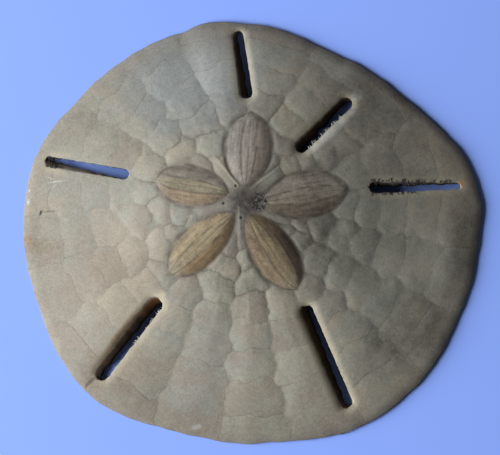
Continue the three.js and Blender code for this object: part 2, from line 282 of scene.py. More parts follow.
def lip_fall(x, y):
    """How far the upper surface is rounded down at the slots' lips."""
    fall = np.zeros_like(x)
    for slot in SLOTS.values():
        _, n = along_slot(slot, x, y)
        left = 0.5 + 0.5 * np.clip(2 * n / slot["widths"][0], -1, 1)
        drop = slot["drops"][0] * left + slot["drops"][1] * (1 - left)
        lip = 1 - ramp(slot_distance(slot, x, y), 0, SLOT_LIP)
        fall += drop * lip * lip
    return fall


# The blank is slit along one of its own lines for each slot, from just before the slot's inner end to
# just past its outer end. A face's middle that turns less than ON_LINE from a cut point is on no side.
SLIT_SPARE = 0.25
ON_LINE = 0.0001


def slit_line(slot):
    """The blank's line of points that lies nearest to a slot, and the slot's reach along it."""
    inner, direction, length = slot_frame(slot)
    middle = inner + direction * length / 2
    segment = round(math.atan2(middle[1], middle[0]) / math.tau * SEGMENTS) % SEGMENTS
    turn = segment * math.tau / SEGMENTS
    stretch = FLAT / (float(rim_radius(np.array(turn))) - MARGIN_EASE)
    return segment, [math.hypot(*slot[end]) * stretch for end in ("inner", "outer")]


def slit_blank(form):
    """Cuts the blank along a line for each slot, above and below, and gives the side of each cut vertex."""
    lines = {}
    for v in form.verts:
        segment = round(math.atan2(v.co.y, v.co.x) / math.tau * SEGMENTS) % SEGMENTS
        lines.setdefault((segment, round(v.co.z)), []).append(v)
    for slot in SLOTS.values():
        segment, radii = slit_line(slot)
        for level in (-1, 1):
            start, end = radii[0] - SLIT_SPARE, radii[1] + SLIT_SPARE
            on_line = [v for v in lines[segment, level] if start < v.co.xy.length < end]
            on_line.sort(key=lambda v: v.co.xy.length)
            bmesh.ops.split_edges(form, edges=[form.edges.get(pair) for pair in zip(on_line, on_line[1:])])
    form.verts.index_update()
    sides = np.zeros(len(form.verts))
    for v in form.verts:
        if v.is_boundary:
            middle = sum((face.calc_center_median() for face in v.link_faces), Vector()) / len(v.link_faces)
            cross = v.co.xy.normalized().cross(middle.xy.normalized())
            sides[v.index] = 0 if abs(cross) < ON_LINE else math.copysign(1, cross)
    return sides


# Each slit is turned onto its slot's axis together with what lies near it, and is then drawn open. Its
# end points gather towards the slot's round ends, and the points beside it crowd up to SLOT_REACH away.
TURN_REACH = 9
TURN_START = 1
ON_AXIS = 0.02
GATHER = 0.65
GATHER_WIDTH = 1.6
GATHER_LENGTH = 0.9
SLOT_REACH = 5.0
CROWDING = 0.6
CROWDING_START = 1.2


def short_way(turn):
    """A turn the short way round, of half a circle at most."""
    return np.angle(np.exp(1j * turn))


def open_slot(slot, x, y, sides):
    """Turns the plan round a slit onto the slot's axis, then draws it open to the slot's width."""
    inner, direction, length = slot_frame(slot)
    turn = slit_line(slot)[0] * math.tau / SEGMENTS
    radius = np.hypot(x, y)
    angle = np.arctan2(y, x)
    ends = [math.hypot(*slot[end]) for end in ("inner", "outer")]
    offset = inner[1] * direction[0] - inner[0] * direction[1]
    heading = math.atan2(direction[1], direction[0])
    axis_turn = heading + np.arcsin(offset / np.clip(radius, *ends))
    off = short_way(angle - turn)
    swing = short_way(axis_turn - turn)
    beside = np.clip(1 - (off * radius / TURN_REACH) ** 2, 0, 1) ** 2
    moved = angle + swing * beside * ramp(radius, ends[0] - TURN_REACH, ends[0] - TURN_START)
    x, y = radius * np.cos(moved), radius * np.sin(moved)

    s, n = along_slot(slot, x, y)
    n = np.where((sides != 0) & (np.abs(n) < ON_AXIS), 0, n)
    side = np.where(n == 0, sides, np.sign(n))
    gather = GATHER * bump(n, GATHER_WIDTH)
    s = s - s * gather * bump(s, GATHER_LENGTH)
    beyond = s - length
    s = s - beyond * gather * bump(beyond, GATHER_LENGTH)
    halves = [width / 2 for width in slot["widths"]]
    from_end = np.minimum(s / halves[0], (length - s) / halves[1])
    cap = np.sqrt(np.clip(1 - np.clip(1 - from_end, 0, 1) ** 2, 0, 1)) * (from_end > 0)
    half = slot_half(slot, s, side) * cap
    share = ramp(np.abs(n), 0, SLOT_REACH)
    straight = ramp(from_end - 1, 0, CROWDING_START)
    spread = side * (half + (SLOT_REACH - half) * share ** (1 + CROWDING * straight))
    inside = (np.abs(n) < SLOT_REACH) & (np.abs(s - length / 2) < length)
    n = np.where(inside & (half > 0), spread, n)
    return (
        inner[0] + direction[0] * s - direction[1] * n,
        inner[1] + direction[1] * s + direction[0] * n,
    )


# Petals: where the breathing feet stood, in five pairs of pore bands. Each is a low arch in a crease,
# with a domed band either side of a slim strip, and furrows between them and down the middle.
PETAL_RISE = 0.28
PETAL_SHOULDER = 4.2
PETAL_CREASE = 0.08
CREASE_WIDTH = 0.8
PETAL_POINT = 0.62
PETAL_SWELL = 0.25
STRIP_SHARE = 0.32
BAND_DOME = 0.03
FURROW = 0.03
FURROW_SHARE = 0.07
AXIS_FURROW = 0.025
AXIS_FURROW_WIDTH = 0.2
THINNEST = 0.4

# Root and tip from the apex and full width, then the tones of the left band, of the strip and of the
# right band, looking outwards.
PETAL_VALUES = ("root", "tip", "width", "left", "strip", "right")
PETAL_ROWS = [
    ((0.6, 3.0), (1.7, 17.6), 9.4, tone(137, 127, 112), tone(143, 131, 115), tone(124, 110, 94)),
    ((3.6, 0.0), (20.4, 2.8), 9.0, tone(135, 122, 105), tone(137, 124, 104), tone(109, 95, 77)),
    ((1.2, -2.4), (10.6, -16.8), 8.6, tone(107, 88, 63), tone(135, 117, 86), tone(127, 107, 79)),
    ((-1.8, -2.2), (-14.2, -14.0), 8.0, tone(113, 90, 60), tone(135, 118, 87), tone(137, 119, 88)),
    ((-2.8, 2.0), (-17.0, 4.4), 8.0, tone(124, 105, 80), tone(125, 113, 87), tone(112, 102, 87)),
]
PETALS = [dict(zip(PETAL_VALUES, row)) for row in PETAL_ROWS]


def petal_place(petal, x, y):
    """How far a point lies inside a petal's outline, along it (0 to 1) and to its left."""
    (rx, ry), (tx, ty) = petal["root"], petal["tip"]
    length = math.hypot(tx - rx, ty - ry)
    ex, ey = (tx - rx) / length, (ty - ry) / length
    u = ((x - rx) * ex + (y - ry) * ey) / length
    across = (y - ry) * ex - (x - rx) * ey
    open_share = np.clip(4 * u * (1 - u), 0, 1) ** PETAL_POINT
    half = 0.5 * petal["width"] * open_share * (1 + PETAL_SWELL * (u - 0.5))
    beyond = np.maximum(np.maximum(-u, u - 1), 0) * length
    return half - np.hypot(across, beyond), u, across


def nearest_petal(x, y):
    """The nearest petal's index, and a point's place in it."""
    places = np.array([petal_place(petal, x, y) for petal in PETALS])
    index = places[:, 0].argmax(axis=0)
    inside, along, across = np.take_along_axis(places, index[None, None, :], axis=0)[0]
    return index, inside, along, across


def petal_relief(x, y):
    """How far the petals stand above the dome."""
    total = np.zeros_like(x)
    for petal in PETALS:
        inside, _, across = petal_place(petal, x, y)
        share = np.abs(across) / np.maximum(inside + np.abs(across), THINNEST)
        band = ramp(share, STRIP_SHARE, 1)
        dome = BAND_DOME * 4 * band * (1 - band)
        furrows = FURROW * bump(share - STRIP_SHARE, FURROW_SHARE)
        furrows = furrows + AXIS_FURROW * bump(across, AXIS_FURROW_WIDTH)
        arch = rise(inside / PETAL_SHOULDER) * (PETAL_RISE + dome - furrows)
        total += arch - PETAL_CREASE * bump(inside, CREASE_WIDTH)
    return total


# Slim ridges that run out from the apex between the petals: start, end and strength. They widen and
# sink on their way out.
RIDGE_RISE = 0.14
RIDGE_WIDTH = (0.24, 0.4)
RIDGE_SINK = 0.7
RIDGES = [
    ((-0.9, 3.3), (-5.9, 9.6), 1.0),
    ((1.6, 2.6), (7.7, 7.3), 0.6),
    ((-2.6, 1.3), (-8.3, -1.4), 0.5),
    ((-0.9, 0.2), (-0.4, -9.0), 0.8),
    ((5.2, -1.6), (12.4, -5.4), 0.5),
]


def ridge_relief(x, y):
    """How far the ridges stand above the dome."""
    total = np.zeros_like(x)
    for (sx, sy), (ex, ey), strength in RIDGES:
        run_x, run_y = ex - sx, ey - sy
        along = np.clip(((x - sx) * run_x + (y - sy) * run_y) / (run_x**2 + run_y**2), 0, 1)
        away = np.hypot(x - sx - run_x * along, y - sy - run_y * along)
        width = RIDGE_WIDTH[0] + (RIDGE_WIDTH[1] - RIDGE_WIDTH[0]) * along
        total = np.maximum(total, RIDGE_RISE * strength * (1 - RIDGE_SINK * along) * bump(away, width))
    return total


# Plates: each column of them is a low ridge, higher on the -Y side by LOW_SIDE of its rise, each plate
# is a little domed, and the small plates near the petals stand out like pebbles.
COLUMN_RISE = 0.24
COLUMN_SHOULDER = 5.0
LOW_SIDE = 0.3
PLATE_RISE = 0.03
PLATE_SHOULDER = 3.0
PEBBLE_RISE = 0.12
PEBBLE_SHOULDER = 1.8
PEBBLE_ZONE = (15, 30)

# The ten zones of plates, each with two columns. The columns stand off the zone's middle by an angle
# beside the petals, and by their own angles further out. Rows are the plates' middle radii.
FIRST_RING = 8
PETAL_RING = 17
OUTER_RING = 27
NARROWEST = 0.55
PLATE_ZONES = [
    (88.5, 8, (12.5, 13), ([20, 24.5, 29.5, 34.5], [19.5, 25, 30.5, 35.5])),
    (130.5, 13, (8.8, 8.8), ([9, 12.5, 17.5, 23, 29, 34.5], [10.5, 15.5, 20, 25.5, 31, 36.5])),
    (167, 8, (9.2, 9), ([20, 25, 30.5, 36.5], [19.5, 24, 29, 35, 41.5])),
    (197.5, 12, (7.2, 7.5), ([9, 12, 16, 21.3, 26.9, 32.9, 40], [10.5, 14, 18.6, 23.4, 28.9, 34, 41])),
    (229.8, 7, (8.8, 9), ([20.5, 25.5, 31.5, 38, 45], [21.1, 25.9, 32, 39, 46])),
    (
        264.5, 13, (8.8, 8.8),
        ([9, 12.5, 17.5, 23.5, 29, 35.5, 43.5], [8, 11, 15, 20.5, 26.5, 31.5, 38.5, 46]),
    ),
    (299, 7, (9.2, 9.4), ([21.5, 27.3, 33.5, 40, 47], [21.3, 26, 32, 38.5, 46])),
    (
        332.5, 11, (7.8, 8),
        ([9, 12.5, 18.4, 23.5, 28.6, 33.5, 39, 45.5], [8, 11.5, 15.7, 20.5, 25.6, 30.5, 36.5, 43.5]),
    ),
    (5.8, 7, (9.2, 10), ([20.5, 24.3, 29, 35.5, 42.5], [22, 28.5, 35.5, 42])),
    (45, 14, (9, 9), ([8.5, 11.5, 14.5, 18.5, 22.5, 27.5, 33, 38], [9.5, 13, 17.5, 22.5, 28, 33.5])),
]


def plate_middles():
    """Every plate's middle, and the column that it stands in."""
    middles = []
    columns = []
    for zone, (middle, inner, outer, sides) in enumerate(PLATE_ZONES):
        for side, radii in enumerate(sides):
            for radius in radii:
                widening = NARROWEST + (1 - NARROWEST) * ramp(radius, FIRST_RING, PETAL_RING)
                off = inner * widening + (outer[side] - inner) * ramp(radius, PETAL_RING, OUTER_RING)
                turn = math.radians(middle + (off if side else -off))
                middles.append((radius * math.cos(turn), radius * math.sin(turn)))
                columns.append(2 * zone + side)
    return np.array(middles), np.array(columns)


PLATES, COLUMNS = plate_middles()


def suture_distance(x, y, own, other):
    """Distance from a point in its own plate to the suture with another."""
    ax, ay = PLATES[own].T
    bx, by = PLATES[other].T
    farther = np.hypot(x - bx, y - by) ** 2 - np.hypot(x - ax, y - ay) ** 2
    return farther / (2 * np.hypot(bx - ax, by - ay))


def own_plate(x, y):
    """The plate that each point is in, and how far it is from its column's side and from the next row."""
    away = (x[:, None] - PLATES[:, 0]) ** 2 + (y[:, None] - PLATES[:, 1]) ** 2
    own = away.argmin(axis=1)
    same_column = COLUMNS[own][:, None] == COLUMNS
    beside = np.where(same_column, np.inf, away).argmin(axis=1)
    same_column[np.arange(len(x)), own] = False
    in_line = np.where(same_column, away, np.inf).argmin(axis=1)
    return own, suture_distance(x, y, own, beside), suture_distance(x, y, own, in_line)


# A face is folded when a corner's area falls below a share of what it was before the blank was opened,
# and pinched when it falls below a share of what it was before a point slid onto a suture.
FOLDED = 0.05
EASING_ROUNDS = 12
PINCHED = 0.2
SLIDING_ROUNDS = 6


def corner_areas(x, y, quads):
    """Signed area at each corner of every four-sided face, seen from above."""
    qx, qy = x[quads], y[quads]
    ahead_x, ahead_y = np.roll(qx, -1, 1) - qx, np.roll(qy, -1, 1) - qy
    behind_x, behind_y = np.roll(qx, 1, 1) - qx, np.roll(qy, 1, 1) - qy
    return ahead_x * behind_y - ahead_y * behind_x


def ease_folds(x, y, edges, quads, before, held):
    """Draws the points of folded faces to the middle of their neighbours. Held points stay."""
    starts, ends = edges.T
    neighbours = np.bincount(edges.ravel())
    for _ in range(EASING_ROUNDS):
        folded = quads[(corner_areas(x, y, quads) / before < FOLDED).any(axis=1)]
        loose = np.setdiff1d(folded, np.nonzero(held)[0])
        x, y = x.copy(), y.copy()
        for line in (x, y):
            total = np.bincount(starts, line[ends]) + np.bincount(ends, line[starts])
            line[loose] = total[loose] / neighbours[loose]
    return x, y


def set_on_sutures(x, y, plate_x, plate_y, edges, quads, free):
    """Slides the nearer end of every edge that crosses a suture onto it, and says which ends moved.

    A point stays where it is if one of its faces would be pinched.
    """
    own, _, _ = own_plate(plate_x, plate_y)
    starts, ends = edges.T
    a, b = edges[free[starts] & free[ends] & (own[starts] != own[ends])].T
    from_a = suture_distance(plate_x[a], plate_y[a], own[a], own[b])
    from_b = suture_distance(plate_x[b], plate_y[b], own[b], own[a])
    share = from_a / (from_a + from_b)
    near = np.where(share < 0.5, a, b)
    far = np.where(share < 0.5, b, a)
    share = np.minimum(share, 1 - share)
    order = np.argsort(-share, kind="stable")
    near, far, share = near[order], far[order], share[order]
    places = np.stack([x, y, plate_x, plate_y])
    slide = np.zeros_like(places)
    slide[:, near] = (places[:, far] - places[:, near]) * share
    before = corner_areas(x, y, quads)
    for _ in range(SLIDING_ROUNDS):
        after = corner_areas(x + slide[0], y + slide[1], quads)
        pinched = quads[(after / before < PINCHED).any(axis=1)]
        slide[:, pinched.ravel()] = 0
    on_suture = (slide[0] != 0) | (slide[1] != 0)
    return places + slide, on_suture


# The upper surface: the dome, what stands on it and broad, low waves. What stands on it fades in over
# a pair of radii from the apex, and over a distance from the rim, from a slot's edge and from a petal.
SUTURE_DEPTH = 0.012
SUTURE_WIDTH = 0.4
WAVE_HEIGHT = 0.03
WAVE_LENGTH = 9
PETALS_FROM_APEX = (0.8, 4.6)
PLATES_FROM_APEX = (4, 9)
PLATES_FROM_RIM = 6
PLATES_FROM_SLOT = 3
PLATES_FROM_PETAL = 0.6
SUTURES_FROM_APEX = (4, 7)
WAVES_FROM_APEX = (4, 12)
WAVES_FROM_RIM = 4


def dome(radius, rim):
    """Height of the plain dome: a low cone with a rounded tip."""
    share = (np.hypot(radius, TIP_ROUND) - TIP_ROUND) / (np.hypot(rim, TIP_ROUND) - TIP_ROUND)
    return MARGIN + (HEIGHT - MARGIN) * (1 - np.minimum(share, 1) ** CROWN_POWERS[0]) ** CROWN_POWERS[1]


def rounded_edge(full, to_rim):
    """Rounds a height off towards the middle of the margin's thickness."""
    ease = 1 - ramp(to_rim, 0, MARGIN_EASE)
    return MARGIN / 2 + (full - MARGIN / 2) * np.sqrt(1 - ease * ease)


def plate_relief(x, y, in_column, in_row):
    """Columns of plates are domed across, and the small plates near the petals are like pebbles."""
    radius = np.maximum(np.hypot(x, y), 1)
    column = COLUMN_RISE * (rise(in_column / COLUMN_SHOULDER) - 0.5) * (1 - LOW_SIDE * y / radius)
    plate = PLATE_RISE * rise(in_row / PLATE_SHOULDER)
    pebble = rise(in_column / PEBBLE_SHOULDER) * rise(in_row / PEBBLE_SHOULDER)
    pebble = PEBBLE_RISE * (pebble * (1 - ramp(radius, *PEBBLE_ZONE)))
    return (column + plate + pebble) * ramp(radius, *PLATES_FROM_APEX)


def top_height(x, y, to_slot, in_plate, plates):
    """Height of the upper surface over the table. Plates is the relief of the plates."""
    radius = np.hypot(x, y)
    rim = rim_radius(np.arctan2(y, x))
    crown = dome(radius, rim)
    _, in_petal, _, _ = nearest_petal(x, y)
    open_plates = ramp(-in_petal, 0, PLATES_FROM_PETAL)
    apart = open_plates * ramp(rim - radius, 0, PLATES_FROM_RIM) * ramp(to_slot, 0, PLATES_FROM_SLOT)
    sutures = SUTURE_DEPTH * bump(in_plate, SUTURE_WIDTH) * open_plates * ramp(radius, *SUTURES_FROM_APEX)
    waves = WAVE_HEIGHT * ripple(x, y, WAVE_LENGTH, seed=4)
    waves = waves * ramp(rim - radius, 0, WAVES_FROM_RIM) * ramp(radius, *WAVES_FROM_APEX)
    middle = (petal_relief(x, y) + ridge_relief(x, y)) * ramp(radius, *PETALS_FROM_APEX)
    full = crown + middle + plates * apart - sutures + waves - lip_fall(x, y)
    return rounded_edge(full, rim - radius)


# Underside: flat in a broad band inside the margin, and slightly hollow within it. The mouth lies under
# the apex, the anus between it and the anal slot. Shallow grooves that led food to the mouth fork to
# pass both sides of each slot, and end at a share of the way to the rim.
REST_BAND = 0.78
UNDERSIDE_HOLLOW = 0.9
HOLLOW_POWER = 1.5
SUTURES_IN_HOLLOW = 0.3
SLOT_FOOT = 0.5
MOUTH_RADIUS = 2.2
MOUTH_DEPTH = 1.6
MOUTH_WALL = 0.8
ANUS = {"at": (5.2, 5.1), "radius": 0.9, "depth": 0.8}
GROOVE_DEPTH = 0.35
GROOVE_WIDTH = 1.3
GROOVE_START = (MOUTH_RADIUS, MOUTH_RADIUS + 2)
GROOVE_FORK = (9, 17)
GROOVE_SPREAD = math.radians(8)
GROOVE_REACH = 0.77
GROOVE_FADE = 0.1


def food_grooves(x, y, share):
    """Depth of the food grooves, from a point's place and its share of the way to the rim."""
    radius = np.hypot(x, y)
    angle = np.arctan2(y, x)
    depth = np.zeros_like(x)
    fork = GROOVE_SPREAD * ramp(radius, *GROOVE_FORK)
    for petal in PETALS:
        trunk = math.atan2(petal["tip"][1], petal["tip"][0])
        off = np.abs(short_way(angle - trunk))
        depth = np.maximum(depth, GROOVE_DEPTH * bump(np.abs(off - fork) * radius, GROOVE_WIDTH))
    return depth * ramp(radius, *GROOVE_START) * ramp(-share, -GROOVE_REACH, GROOVE_FADE - GROOVE_REACH)


def underside_height(x, y, to_slot, in_plate):
    """Height of the underside over the table: flat near the margin and slightly hollow further in."""
    radius = np.hypot(x, y)
    rim = rim_radius(np.arctan2(y, x))
    share = np.minimum(radius / rim, 1)
    inward = 1 - np.minimum(share / REST_BAND, 1) ** 2
    mouth = MOUTH_DEPTH * ramp(MOUTH_RADIUS + MOUTH_WALL - radius, 0, MOUTH_WALL)
    anus_away = np.hypot(x - ANUS["at"][0], y - ANUS["at"][1]) / ANUS["radius"]
    anus = ANUS["depth"] * np.sqrt(np.clip(1 - anus_away**2, 0, 1))
    sutures = SUTURE_DEPTH * bump(in_plate, SUTURE_WIDTH) * ramp(inward, 0, SUTURES_IN_HOLLOW)
    foot = 1 - ramp(to_slot, 0, SLOT_FOOT)
    lift = SLOT_FOOT * (1 - np.sqrt(1 - foot * foot))
    hollow = UNDERSIDE_HOLLOW * inward**HOLLOW_POWER
    full = hollow + mouth + anus + food_grooves(x, y, share) + sutures + lift
    return rounded_edge(full, rim - radius)


# Plates meet along wavy sutures. The waves calm down at the slots, the rim and the apex. The mesh's own
# points move onto the sutures, but for those near a slot or in a petal, at the apex or at the rim.
WOBBLE = 0.32
FINE_WOBBLE = 0.3
WOBBLE_LENGTHS = (6, 2)
CALM_SLOT = 3
CALM_RIM = (1.2, 5)
CALM_APEX = (4, 7)
FREE_RADII = (2, 42.5)
FREE_SLOT = 0.6
FREE_PETAL = -0.3


def wobble(x, y, seeds):
    """How far the sutures stray to one side."""
    broad = WOBBLE * ripple(x, y, WOBBLE_LENGTHS[0], seeds[0])
    return broad + FINE_WOBBLE * WOBBLE * ripple(x, y, WOBBLE_LENGTHS[1], seeds[1])


# The mesh: the slit blank, stretched to the rim, opened at its slots and given its relief.
def fetch(items, name, width=1, kind=float):
    """A property of all of a mesh's vertices, edges or the like, as an array of rows of a width."""
    values = np.empty(len(items) * width, kind)
    items.foreach_get(name, values)
    return values.reshape(-1, width) if width > 1 else values


def room_to_slot(x, y, sides):
    """How far each point is from the nearest slot's edge. It is 0 for the points of the edge."""
    return np.where(sides != 0, 0, np.maximum(nearest_slot(x, y), 0))


blank = round_blank()
sides = slit_blank(blank)
test_mesh = bpy.data.meshes.new("test_skin")
blank.to_mesh(test_mesh)
blank.free()

spots = fetch(test_mesh.vertices, "co", 3)
level = np.sign(np.round(spots[:, 2]))
flat_radius = np.hypot(spots[:, 0], spots[:, 1])
flat_angle = np.arctan2(spots[:, 1], spots[:, 0])
rim = rim_radius(flat_angle)
stretched = flat_radius * (rim - MARGIN_EASE) / FLAT
radius = np.where(flat_radius < FLAT, stretched, rim - (BLANK - flat_radius))
x = radius * np.cos(flat_angle)
y = radius * np.sin(flat_angle)
edges = fetch(test_mesh.edges, "vertices", 2, int)
corners = np.array([p.vertices[:] for p in test_mesh.polygons if p.loop_total == 4])
before = corner_areas(x, y, corners)
for slot in SLOTS.values():
    x, y = open_slot(slot, x, y, sides)
x, y = ease_folds(x, y, edges, corners, before, sides != 0)
_, in_petal, _, _ = nearest_petal(x, y)
to_slot = room_to_slot(x, y, sides)
free = (flat_radius > FREE_RADII[0]) & (flat_radius < FREE_RADII[1])
free = free & (to_slot > FREE_SLOT) & ((level < 0) | (in_petal < FREE_PETAL))
calm = ramp(to_slot, 0, CALM_SLOT) * ramp(rim - radius, *CALM_RIM) * ramp(radius, *CALM_APEX)
plate_x = x + calm * wobble(x, y, seeds=(21, 22))
plate_y = y + calm * wobble(x, y, seeds=(23, 24))
(x, y, plate_x, plate_y), on_suture = set_on_sutures(x, y, plate_x, plate_y, edges, corners, free)
_, in_column, in_row = own_plate(plate_x, plate_y)
in_plate = np.where(on_suture, 0, np.minimum(in_column, in_row))
plates = plate_relief(x, y, in_column, in_row)
to_slot = room_to_slot(x, y, sides)
z = np.where(
    level > 0,
    top_height(x, y, to_slot, in_plate, plates),
    np.where(level < 0, underside_height(x, y, to_slot, in_plate), MARGIN / 2),
)
place = np.stack([x + APEX[0], y + APEX[1], z], axis=1)
test_mesh.vertices.foreach_set("co", (place * MM).ravel())


# What the material reads from the mesh. FAR stands for no suture or no petal near, and no suture is
# drawn in a petal or right beside it.
FAR = 9
NO_SUTURE = -0.1


def mark(name, values):
    """Writes one number a vertex on the mesh."""
    layer = test_mesh.attributes.new(name, "FLOAT", "POINT")
    layer.data.foreach_set("value", np.asarray(values, np.float32))


index, in_petal, along, across = nearest_petal(x, y)
mark("in_plate", np.where(in_petal > NO_SUTURE, FAR, in_plate))
mark("in_petal", np.where(level > 0, in_petal, -FAR))
mark("petal_along", along)
mark("petal_across", across)
for band in ("left", "strip", "right"):
    layer = test_mesh.attributes.new("petal_" + band, "FLOAT_COLOR", "POINT")
    tones = np.array([petal[band] for petal in PETALS], np.float32)
    layer.data.foreach_set("color", tones[index].ravel())
mark("ridge", ridge_relief(x, y) / RIDGE_RISE)
mark("to_slot", to_slot)
mark("to_rim", rim_radius(np.arctan2(y, x)) - np.hypot(x, y))
mark("upper", level)
mark("wall", np.zeros(len(x)))
mark("on_suture", on_suture)

# The slots' walls join the upper and the lower edge of each slit. They are a little lumpy, and sway
# sideways half-way down.
WALL_ROWS = 5
WALL_LUMPS = 0.05
LUMP_LENGTH = 2.2
PAST_SLOT = 1
BESIDE_SLOT = 3

form = bmesh.new()
form.from_mesh(test_mesh)
on_suture_layer = form.verts.layers.float["on_suture"]
wall_layer = form.verts.layers.float["wall"]
upper_layer = form.verts.layers.float["upper"]
bmesh.ops.connect_verts(form, verts=[v for v in form.verts if v[on_suture_layer] > 0.5])
open_edges = [edge for edge in form.edges if edge.is_boundary]
for slot in SLOTS.values():
    inner, direction, length = slot_frame(slot)
    rims = []
    for edge in open_edges:
        middle = (edge.verts[0].co + edge.verts[1].co) / (2 * MM)
        s, n = along_slot(slot, middle.x - APEX[0], middle.y - APEX[1])
        if -PAST_SLOT < s < length + PAST_SLOT and abs(n) < BESIDE_SLOT:
            rims.append(edge)
    walls = bmesh.ops.bridge_loops(form, edges=rims)
    walls = bmesh.ops.subdivide_edges(form, edges=walls["edges"], cuts=WALL_ROWS, use_grid_fill=True)
    new_points = [part for part in walls["geom_inner"] if isinstance(part, bmesh.types.BMVert)]
    heights = np.array([v.co.z / MM for v in new_points])
    s, n = np.array([along_slot(slot, v.co.x / MM - APEX[0], v.co.y / MM - APEX[1]) for v in new_points]).T
    lumps = WALL_LUMPS * ripple(s + 2 * n, heights, LUMP_LENGTH, seed=41)
    leftward = Vector((-direction[1], direction[0]))
    rightward = np.array((direction[1], -direction[0]))
    for v, along, across, lump in zip(new_points, s, n, lumps):
        v[wall_layer] = 1
        on_axis = min(max(along, slot["widths"][0] / 2), length - slot["widths"][1] / 2)
        inward = Vector((direction * (on_axis - along) + rightward * across).tolist())
        sway = slot["sways"][0] + (slot["sways"][1] - slot["sways"][0]) * on_axis / length
        v.co.xy += (inward * lump + leftward * sway) * (1 - v[upper_layer] ** 2) ** 2 * MM
bmesh.ops.recalc_face_normals(form, faces=form.faces)
for face in form.faces:
    face.smooth = True
form.to_mesh(test_mesh)
form.free()

# Each plate has a tint of its own. The walls' points come last and are on no plate: they are read as the
# last point before them, so the walls' tints mean nothing.
loop_verts = fetch(test_mesh.loops, "vertex_index", kind=int)
loop_starts = fetch(test_mesh.polygons, "loop_start", kind=int)
known = np.minimum(loop_verts, len(plate_x) - 1)
counts = np.diff(np.append(loop_starts, len(loop_verts)))
face_x = np.add.reduceat(plate_x[known], loop_starts) / counts
face_y = np.add.reduceat(plate_y[known], loop_starts) / counts
face_plate, _, _ = own_plate(face_x, face_y)
tints = np.random.default_rng(11).uniform(-1, 1, len(PLATES))
layer = test_mesh.attributes.new("plate_tint", "FLOAT", "FACE")
layer.data.foreach_set("value", tints[face_plate].astype(np.float32))

test = put_in_scene("test_skin", test_mesh)


class Field:
    """A number or colour that varies over the surface. Sums and products of numbers add Math nodes."""

    def __init__(self, tree, socket=None):
        self.tree = tree
        self.socket = socket

    def node(self, kind, settings=None, sockets=None, output=0):
        """Adds a node: first its settings, then the values or links of its sockets. Gives one output."""
        node = self.tree.nodes.new(kind)
        for name, value in (settings or {}).items():
            setattr(node, name, value)
        for name, value in (sockets or {}).items():
            if isinstance(value, Field):
                self.tree.links.new(value.socket, node.inputs[name])
            else:
                node.inputs[name].default_value = value
        return Field(self.tree, node.outputs[output])

    def maths(self, operation, *values):
        """Adds a Math node."""
        return self.node("ShaderNodeMath", {"operation": operation}, dict(enumerate(values)))

    def __add__(self, other):
        return self.maths("ADD", self, other)

    def __sub__(self, other):
        return self.maths("SUBTRACT", self, other)

    def __rsub__(self, other):
        return self.maths("SUBTRACT", other, self)

    def __mul__(self, other):
        return self.maths("MULTIPLY", self, other)

    def __truediv__(self, other):
        return self.maths("DIVIDE", self, other)

    def __abs__(self):
        return self.maths("ABSOLUTE", self)

    __radd__ = __add__
    __rmul__ = __mul__

    def step(self, start, end):
        """Smoothly from 0 at start to 1 at end."""
        return self.node(
            "ShaderNodeMapRange",
            {"interpolation_type": "SMOOTHSTEP"},
            {"Value": self, "From Min": start, "From Max": end},
        )

    def fade(self, start, end):
        """Smoothly from 1 at start to 0 at end."""
        return 1 - self.step(start, end)

    def feed(self, shader, name):
        """Links this to a socket of a shader."""
        self.tree.links.new(self.socket, shader.inputs[name])

    def mix(self, first, second, share, blend="MIX"):
        """The first colour, mixed with the second by a share."""
        return self.node(
            "ShaderNodeMix",
            {"data_type": "RGBA", "blend_type": blend},
            {0: share, 6: first, 7: second},
            output=2,
        )

    def toward(self, other, share, blend="MIX"):
        """This colour, mixed with another by a share."""
        return self.mix(self, other, share, blend)


calcite, shader = new_material("calcite")
paint = Field(calcite.node_tree)
place = paint.node("ShaderNodeTexCoord", output=3)


def read(name, output=2):
    """What the mesh holds under a name: a number, or a colour where the output is 0."""
    return paint.node("ShaderNodeAttribute", {"attribute_name": name}, output=output)


def mottle(size, detail=2.0, roughness=0.5, shift=0.0):
    """Soft noise of about 0 to 1, with patches of the size in mm."""
    moved = paint.node("ShaderNodeVectorMath", {"operation": "ADD"}, {0: place, 1: (shift, shift, shift)})
    return paint.node(
        "ShaderNodeTexNoise",
        {},
        {"Vector": moved, "Scale": 1 / (size * MM), "Detail": detail, "Roughness": roughness},
    )


def spot(at, size, turn=0):
    """How far a point is from a place on the test, as a share of an oval's size."""
    centred = paint.node(
        "ShaderNodeMapping",
        {"vector_type": "TEXTURE"},
        {
            "Vector": place,
            "Location": ((at[0] + APEX[0]) * MM, (at[1] + APEX[1]) * MM, 0),
            "Rotation": (0, 0, math.radians(turn)),
            "Scale": (size[0] * MM, size[1] * MM, 1),
        },
    )
    return paint.node("ShaderNodeVectorMath", {"operation": "LENGTH"}, {0: centred}, output=1)


# Bare calcite: beige, greyer in some patches and warmer in others, with a fine grain of spine bases.
BONE = tone(140, 132, 113)
BONE_GREY = tone(128, 127, 116)
BONE_COOL = tone(128, 130, 124)
BONE_OLIVE = tone(116, 118, 105)
BONE_WARM = tone(142, 126, 104)
BONE_PINK = tone(136, 120, 103)
CREAM_AND_LIP_HIGHLIGHT = tone(176, 162, 132)
SUTURE_BROWN_AND_CLEFT_SHADE = tone(96, 88, 72)
RUST = tone(150, 98, 54)
SOOT_AND_WALL_SHADE = tone(84, 64, 47)
STAIN_AND_CREASE_SHADE = tone(70, 60, 52)
CHALK = tone(196, 192, 182)
SPECK_AND_HOLE_SHADE = tone(30, 26, 22)

in_plate = read("in_plate")
in_petal = read("in_petal")
petal_along = read("petal_along")
petal_across = read("petal_across")
ridge = read("ridge")
to_slot = read("to_slot")
to_rim = read("to_rim")
wall = read("wall")
plate_tint = read("plate_tint")
upper = read("upper")
on_top = upper.step(-0.1, 0.4)

